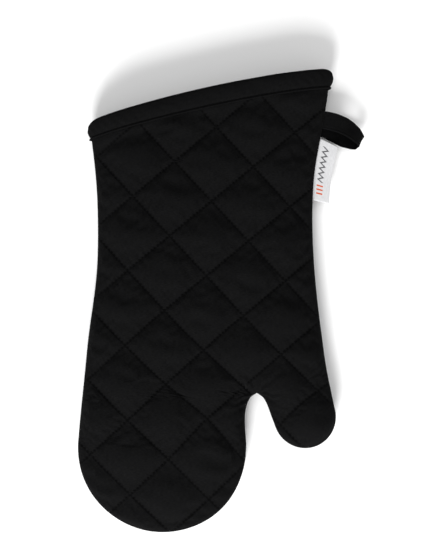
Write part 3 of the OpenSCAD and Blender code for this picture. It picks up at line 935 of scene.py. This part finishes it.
section = cutCorners(bindingSection)
s = np.linspace(0, 1, binding["columns"])
s = mix(s, (1 - np.cos(np.pi * s)) / 2, 0.9)
grid = np.array([np.concatenate([mouthPoints(o, a, "front", s), mouthPoints(o, a, "back", s[::-1])])
                 for o, a in section])
lengthways = lengthsAlong(grid[8])
shown = np.exp(-((section[:, 1] + binding["shownAt"]) / binding["shownReach"]) ** 2)[:, None]
gridXy = grid[..., :2]
phase = 2 * math.pi * (lengthways[None] / binding["ripplePitch"] + section[:, 1][:, None] / 9)
wander = binding["wander"] * waveNoise(gridXy, binding["wanderSize"], 3)
height = binding["ripple"] * np.sin(phase + wander) * shown
height += binding["swell"] * waveNoise(gridXy, binding["swellSize"], 17) * shown
grid = grid + tapeNormals(grid) * height[..., None]
grid[..., 2] = restOn(grid[..., 2], *tableRest)
quads = gridQuads(np.arange(height.size).reshape(height.shape), 1, 1).reshape(-1, 4)[:, ::-1]
around = lengthsAlong(section)
tapeUv = np.stack(np.broadcast_arrays(lengthways[None], around[:, None]), -1).reshape(-1, 2)
# the tape is cut on the bias, so its weave runs at 45 degrees
tapeUv = np.stack([tapeUv[:, 0] + tapeUv[:, 1], tapeUv[:, 0] - tapeUv[:, 1]], -1) * math.sqrt(0.5)
cuffTape = makeMesh("cuff_tape", grid.reshape(-1, 3), quads, tapeUv, biasCotton)
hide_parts("cuff_binding")
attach(cuffTape, "palm")
print("binding:", len(quads), "faces")

# ---- hanging loop: folded tape, out of the seam and back

loop = {
    "width": 13.5, "thickness": 1.8, "down": 37, "intoSeam": 1.6, "rings": 130,
    "edgeStitch": 1.7, "stitchDip": 0.3, "stitchWidth": 0.5,
    "cup": 0.5, "sway": 0.25, "swaySize": 17,
    "fold": 0.5, "foldReach": 0.09, "curl": 0.2,   # the edges curl in where the tape turns back
}
# out of the seam, towards the cuff and upwards in millimetres, then the tape's lean and roll in degrees
loopPath = [
    (0, 0, 0.62, 5, 0), (7.5, -1.2, 2.6, 8, -5), (15.5, -3.8, 4.0, 16, -15), (22.5, -8.0, 4.4, 24, -28),
    (26.6, -11.5, 3.1, 26, -35), (28.2, -13.2, 0, 25, -32), (26.9, -13.7, -3.0, 22, -18),
    (21.5, -12.9, -4.3, 14, -4), (14.0, -11.5, -4.0, 6, 0), (6.5, -8.8, -2.5, 2, 0), (0, -6.0, -0.62, 5, 0),
]


def loopGrid():
    loopY = cuffRightY - loop["down"]
    root = np.array([*edgeAt(rightEdge, loopY), seamHeight, 0, 0])
    points = [root + np.array(p, float) for p in loopPath]
    into = np.array([loop["intoSeam"], 0, 0, 0, 0])
    path, at = alongCurve([points[0] - into, *points, points[-1] - into], np.linspace(0, 1, loop["rings"]), 800)
    path, lean, roll = path[:, :3], np.radians(path[:, 3]), np.radians(path[:, 4])
    along = unit(np.gradient(path, axis=0))
    free = ramp(1, 9, np.minimum(at, at[-1] - at))[:, None]
    width = np.stack([np.sin(lean) * np.cos(roll), np.cos(lean) * np.cos(roll), np.sin(roll)], -1)
    up = unit(np.cross(width, along))
    half = loop["thickness"] / 2 * mix(0.6, 1, free)
    # the section of the folded tape, with a dip at the stitching along each edge
    across = np.concatenate([np.linspace(-1, -0.85, 5), np.linspace(-0.8, 0.8, 19), np.linspace(0.85, 1, 5)])
    fromEdge = (1 - np.abs(across)) * loop["width"] / 2
    dip = loop["stitchDip"] * np.exp(-((fromEdge - loop["edgeStitch"]) / loop["stitchWidth"]) ** 2)
    rise = np.sqrt(np.maximum(0, 1 - np.abs(across) ** 14)) * (1 - dip)
    section = [*zip(across, rise), *zip(across[::-1], -rise[::-1])]
    atFold = np.exp(-((at / at[-1] - loop["fold"]) / loop["foldReach"]) ** 2)[:, None]
    halfWidth = loop["width"] / 2 * (1 - loop["curl"] * atFold)
    grid = np.array([path + width * a * halfWidth + up * (half * r + loop["cup"] * (1 - a * a) * free)
                     for a, r in section])
    swayAt = np.stack([np.broadcast_to(at, grid.shape[:2]), grid[..., 1]], -1)
    sway = loop["sway"] * waveNoise(swayAt, loop["swaySize"], 21)
    return grid + up[None] * (sway * free[:, 0])[..., None], at, section


loopPoints, at, loopSection = loopGrid()
ids = np.arange(loopPoints[..., 0].size).reshape(loopPoints.shape[:2])
quads = gridQuads(ids, closedRows=1).reshape(-1, 4)
caps = [ids[::-1, 0], ids[:, -1]]
across = np.array([a for a, _ in loopSection]) * loop["width"] / 2
tapeUv = np.stack(np.broadcast_arrays(at[None], across[:, None]), -1).reshape(-1, 2)
faces = [*quads[:, ::-1], *caps]
hangingTape = makeMesh("hanging_tape", loopPoints.reshape(-1, 3), faces, tapeUv, biasCotton)
hangingTape.data.materials.append(paintedShadeCotton)
# the first half of the faces looks into the loop and gets the darker cloth, painted shade for the loop's
# shadowed eye
hangingTape.data.polygons.foreach_set("material_index", (np.arange(len(faces)) < len(quads) // 2).astype(int))
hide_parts("hanging_loop")
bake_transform(hangingTape)
print("loop:", len(quads), "faces")

# ---- side label: a folded woven ribbon

label = {
    "ply": 0.26, "gap": 0.1, "out": 12, "drop": 5.2, "length": 46.5, "top": 128.65, "gapToSeam": 0.7,
    "intoSeam": 1.2, "rings": 60, "taper": 0.5,
    "wave": 0.35, "waves": 1.2, "lift": 0.5,   # the free edge waves, and lifts towards the lower end
    "foldAt": 0.97, "insideFoldAt": 0.96,
}


def labelGrid():
    gap, foldAt = label["gap"], label["foldAt"]
    thick = label["ply"] + gap / 2
    # section of the folded ribbon: share of its width, and height
    row = np.linspace(0, foldAt, 14)
    inner = np.linspace(0, label["insideFoldAt"], 8)
    section = [(a, thick) for a in row]
    section += [(foldAt + (1 - foldAt) * math.sin(t), thick * math.cos(t))
                for t in np.linspace(0.4, math.pi - 0.4, 6)]
    section += [(a, -thick) for a in row[::-1]]
    section += [(a, -gap / 2) for a in inner] + [(a, gap / 2) for a in inner[::-1]]
    rings = []
    for t in np.linspace(0, 1, label["rings"]):
        edge = edgeAt(rightEdge, label["top"] - label["length"] * t)
        root = edge - (label["intoSeam"], 0)
        tip = edge + (label["gapToSeam"] + label["out"] - label["taper"] * t,
                      -mix(label["drop"], label["drop"] / 3, t))
        wave = label["wave"] * math.sin(2 * math.pi * label["waves"] * t + 0.6)
        rings.append([(*mix(root, tip, a), seamHeight + z + wave * a * a + label["lift"] * a**3 * t)
                      for a, z in section])
    return np.array(rings), section


labelPoints, labelSection = labelGrid()
ids = np.arange(labelPoints[..., 0].size).reshape(labelPoints.shape[:2])
labelFaces = [*gridQuads(ids, closedColumns=1).reshape(-1, 4), ids[0, ::-1], ids[-1]]
labelUv = np.array([[(1 - t) * label["length"], a * label["out"]]
                    for t in np.linspace(0, 1, label["rings"]) for a, _ in labelSection])


pattern = {
    "middle": 5.0, "zigzagPitch": 2.1, "zigzagSlope": 1.5, "zigzagWidth": 0.8, "zigzagFrom": 14.7,
    "barPitch": 1.5, "barWidth": 0.6, "barReach": 2.1, "barsTo": 13.2, "ends": (4.8, 42),
}


def labelMaterial():
    # white satin ribbon with a woven border: a grey zigzag, and plain orange bars at its lower end
    material, tree, shader = newMaterial("labelSatin", {"Roughness": 0.45, "Sheen Weight": 0.2})
    calc = partial(mathNode, tree)
    woven, coords = wovenCloth(tree, 3.2, 0.15)
    split = tree.nodes.new("ShaderNodeSeparateXYZ")
    tree.links.new(coords, split.inputs[0])
    along, across = split.outputs[0], split.outputs[1]
    wave = calc("SUBTRACT", calc("PINGPONG", along, pattern["zigzagPitch"]), pattern["zigzagPitch"] / 2)
    offset = calc("SUBTRACT", across, pattern["middle"])
    line = calc("ABSOLUTE", calc("SUBTRACT", offset, calc("MULTIPLY", wave, pattern["zigzagSlope"])))
    zigzag = calc("LESS_THAN", line, pattern["zigzagWidth"])
    bar = calc("LESS_THAN", calc("PINGPONG", along, pattern["barPitch"]), pattern["barWidth"])
    bar = calc("MULTIPLY", bar, calc("LESS_THAN", calc("ABSOLUTE", offset), pattern["barReach"]))
    start, end = pattern["ends"]
    inside = calc("MULTIPLY", calc("GREATER_THAN", along, start), calc("LESS_THAN", along, end))
    lower = calc("LESS_THAN", along, pattern["barsTo"])
    upper = calc("GREATER_THAN", along, pattern["zigzagFrom"])
    mark = calc("ADD", calc("MULTIPLY", zigzag, upper), calc("MULTIPLY", bar, lower))
    satin = mixColour(tree, woven["Shade"], (0.46, 0.46, 0.47), (0.6, 0.6, 0.61))
    yarn = mixColour(tree, lower, (0.06, 0.06, 0.065), (0.5, 0.07, 0.012))
    colour = mixColour(tree, calc("MULTIPLY", mark, inside), satin, yarn)
    tree.links.new(colour, shader.inputs["Base Color"])
    tree.links.new(bumpNode(tree, woven["Height"], 0.35, 0.1).outputs[0], shader.inputs["Normal"])
    return material


sideRibbon = makeMesh("side_ribbon", labelPoints.reshape(-1, 3), labelFaces, labelUv, labelMaterial())
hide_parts("side_label")
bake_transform(sideRibbon)

# ---- stitches


def stitchTree():
    # one thread dash on every point, laid along its stitch line and on the cloth
    tree = bpy.data.node_groups.new("stitchLine", "GeometryNodeTree")
    socket = partial(tree.interface.new_socket, in_out="INPUT")
    socket("Geometry", socket_type="NodeSocketGeometry")
    for name, key in (("Stitch Length", "length"), ("Thread", "thread")):
        socket(name, socket_type="NodeSocketFloat").default_value = stitching[key] * mm
    socket("Material", socket_type="NodeSocketMaterial")
    tree.interface.new_socket("Geometry", in_out="OUTPUT", socket_type="NodeSocketGeometry")
    new, link = tree.nodes.new, tree.links.new
    given, out = new("NodeGroupInput"), new("NodeGroupOutput")
    dash = new("GeometryNodeMeshUVSphere")
    setInputs(dash, {"Segments": 8, "Rings": 5, "Radius": 0.5})
    turn = new("GeometryNodeTransform")
    turn.inputs["Rotation"].default_value = (0, math.pi / 2, 0)
    link(dash.outputs[0], turn.inputs["Geometry"])
    size = new("ShaderNodeCombineXYZ")
    for k, name in enumerate(("Stitch Length", "Thread", "Thread")):
        link(given.outputs[name], size.inputs[k])
    vary = new("FunctionNodeRandomValue")
    setInputs(vary, {"Min": 0.9, "Max": 1.08, "Seed": 4})
    scaled = new("ShaderNodeVectorMath")
    scaled.operation = "SCALE"
    link(size.outputs[0], scaled.inputs[0])
    link(vary.outputs[1], scaled.inputs["Scale"])
    axes = new("FunctionNodeAxesToRotation")
    axes.primary_axis, axes.secondary_axis = "X", "Z"
    for k, name in enumerate(("way", "up")):
        stored = new("GeometryNodeInputNamedAttribute")
        stored.data_type = "FLOAT_VECTOR"
        stored.inputs["Name"].default_value = name
        link(stored.outputs["Attribute"], axes.inputs[k])
    place = new("GeometryNodeInstanceOnPoints")
    link(given.outputs["Geometry"], place.inputs["Points"])
    link(turn.outputs[0], place.inputs["Instance"])
    link(axes.outputs[0], place.inputs["Rotation"])
    link(scaled.outputs[0], place.inputs["Scale"])
    last = place
    for kind in ("GeometryNodeRealizeInstances", "GeometryNodeSetShadeSmooth", "GeometryNodeSetMaterial"):
        node = new(kind)
        link(last.outputs[0], node.inputs[0])
        last = node
    link(given.outputs["Material"], last.inputs["Material"])
    link(last.outputs[0], out.inputs[0])
    return tree


stitchNodes = stitchTree()
blackThread, _, _ = newMaterial("blackThread", {
    "Base Color": (0.0012, 0.0012, 0.0013, 1), "Roughness": 0.7, "Specular IOR Level": 0.04})


def makeStitches(name, centres, ways, ups):
    cloud = bpy.data.meshes.new(name + "_points")
    cloud.from_pydata((np.asarray(centres) * mm).tolist(), [], [])
    for title, values in (("way", ways), ("up", ups)):
        layer = cloud.attributes.new(title, "FLOAT_VECTOR", "POINT")
        layer.data.foreach_set("vector", np.asarray(values, np.float32).ravel())
    maker = newObject(name + "_maker", cloud)
    modifier = maker.modifiers.new("stitches", "NODES")
    modifier.node_group = stitchNodes
    for item in stitchNodes.interface.items_tree:
        if item.in_out == "INPUT" and item.name == "Material":
            modifier[item.identifier] = blackThread
    done = maker.evaluated_get(bpy.context.evaluated_depsgraph_get())
    mesh = bpy.data.meshes.new_from_object(done)
    mesh.name = name
    bpy.data.objects.remove(maker)
    obj = newObject(name, mesh)
    return obj


stitched = {"across": 125, "along": 190, "toBinding": 12.9, "lines": 7, "crossings": 8}   # where to lay them


def quiltStitches(face):
    # dashes down in the creases of one panel, by the piece that they lie on
    down = Vector((0, 0, -1 if face == "front" else 1))
    trees = {}
    for part in ("hand", "thumb"):
        mesh = allPanels[face, part].data
        trees[part] = BVHTree.FromPolygons([v.co for v in mesh.vertices],
                                           [p.vertices for p in mesh.polygons if p.material_index == 0])
    found = {"hand": [], "thumb": []}
    reach = stitched["crossings"] * lineStep
    others = np.arange(-reach, reach, stitching["pitch"]) / lineStep
    others -= others[np.argmin(np.abs(others))]
    for family in (0, 1):
        for line in range(-stitched["lines"], stitched["lines"] + 1):
            plan = linePoints(family, np.full_like(others, line), others)
            plan = plan[(np.abs(plan) < (stitched["across"], stitched["along"])).all(1)]
            hits = []
            for p, a in zip(plan, cuffShare(plan)):
                hit = None
                if a < 1 - stitched["toBinding"] / palmSide:
                    start = Vector((p[0] * mm, p[1] * mm, seamHeight * mm - down.z * 0.1))
                    for part in ("hand", "thumb"):
                        place, normal, _, _ = trees[part].ray_cast(start, down)
                        if place and abs(normal.z) > 0.3:
                            hit = (part, np.array(place) / mm, np.array(normal))
                            break
                hits.append(hit)
            for a, b, c in zip(hits[:-2], hits[1:-1], hits[2:]):
                if a and b and c:
                    found[b[0]].append((b[1] - b[2] * stitching["sink"], unit(c[1] - a[1]), b[2]))
    return found


for face in ("front", "back"):
    for part, dashes in quiltStitches(face).items():
        centres, ways, ups = (np.array([d[k] for d in dashes]) for k in range(3))
        stitches = makeStitches(f"{face}_stitches_{part}", centres, ways, ups)
        nodes = {"hand": ("palm", "fingers"), "thumb": ("thumb",)}[part]
        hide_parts(*[f"quilt_thread_{face}_{zone}" for zone in nodes])
        followPart(stitches, part)
        print("stitches:", face, part, len(dashes))


def alongRow(points, normals, pitch):
    # stitch centres, directions and normals at an even pitch along a row of points
    length = lengthsAlong(points)
    at = np.arange(pitch, length[-1] - pitch, pitch)
    ways = unit(valuesAt(at + 0.5, length, points) - valuesAt(at - 0.5, length, points))
    return valuesAt(at, length, points), ways, unit(valuesAt(at, length, normals))


bindingNormals = tapeNormals(grid)
outside = section[:, 0] > 0.4
stitchRow = int(np.argmin(np.where(outside, np.abs(section[:, 1] - binding["stitchLine"]), 99)))
count = binding["columns"]
runs = [alongRow(grid[stitchRow, a:b], bindingNormals[stitchRow, a:b], stitching["pitch"])
        for a, b in ((3, count - 3), (count + 3, 2 * count - 3))]
cuffStitches = makeStitches("cuff_stitches", *[np.concatenate([run[k] for run in runs]) for k in range(3)])
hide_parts("binding_thread")
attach(cuffStitches, "palm")

# the seam's own thread lies between the panels
for zone in ("palm", "fingers", "thumb"):
    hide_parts(f"seam_thread_{zone}")

# ---- floor, light and camera

lighting = {
    "world": 0.5,
    "lamps": (
        ("softKey", (-0.2, -1.6, 1.1), 0.8, 58),
        ("overhead", (0.3, 0.6, 2.0), 1.6, 12),
    ),
}


def stageAndLight():
    bpy.ops.mesh.primitive_plane_add(size=6, location=(0, 0, -0.0002))
    floor = bpy.context.object
    floor.name = "floor"
    paper, _, _ = newMaterial("palePaper", {"Base Color": (0.92, 0.92, 0.92, 1), "Roughness": 0.9})
    floor.data.materials.append(paper)
    for name, place, size, power in lighting["lamps"]:
        light = bpy.data.lights.new(name, "AREA")
        light.size = size
        light.energy = power
        lamp = newObject(name, light)
        lamp.location = place
        lamp.rotation_euler = (-Vector(place)).to_track_quat("-Z", "Y").to_euler()
    world = bpy.data.worlds.new("softWorld")
    bpy.context.scene.world = world
    world.use_nodes = True
    world.node_tree.nodes["Background"].inputs[0].default_value = (1, 1, 1, 1)
    world.node_tree.nodes["Background"].inputs[1].default_value = lighting["world"]


view = {"centre": (0.0095, 0.0197), "height": 1.146, "lens": 100, "roll": 5.2}


def makeCamera():
    data = bpy.data.cameras.new("camera")
    data.lens = view["lens"]
    data.sensor_width = 36
    cam = newObject("camera", data)
    cam.location = (*view["centre"], view["height"] + seamHeight * mm)
    cam.rotation_euler = (0, 0, math.radians(view["roll"]))
    bpy.context.scene.camera = cam


stageAndLight()
makeCamera()
bpy.context.scene.view_settings.view_transform = "Standard"
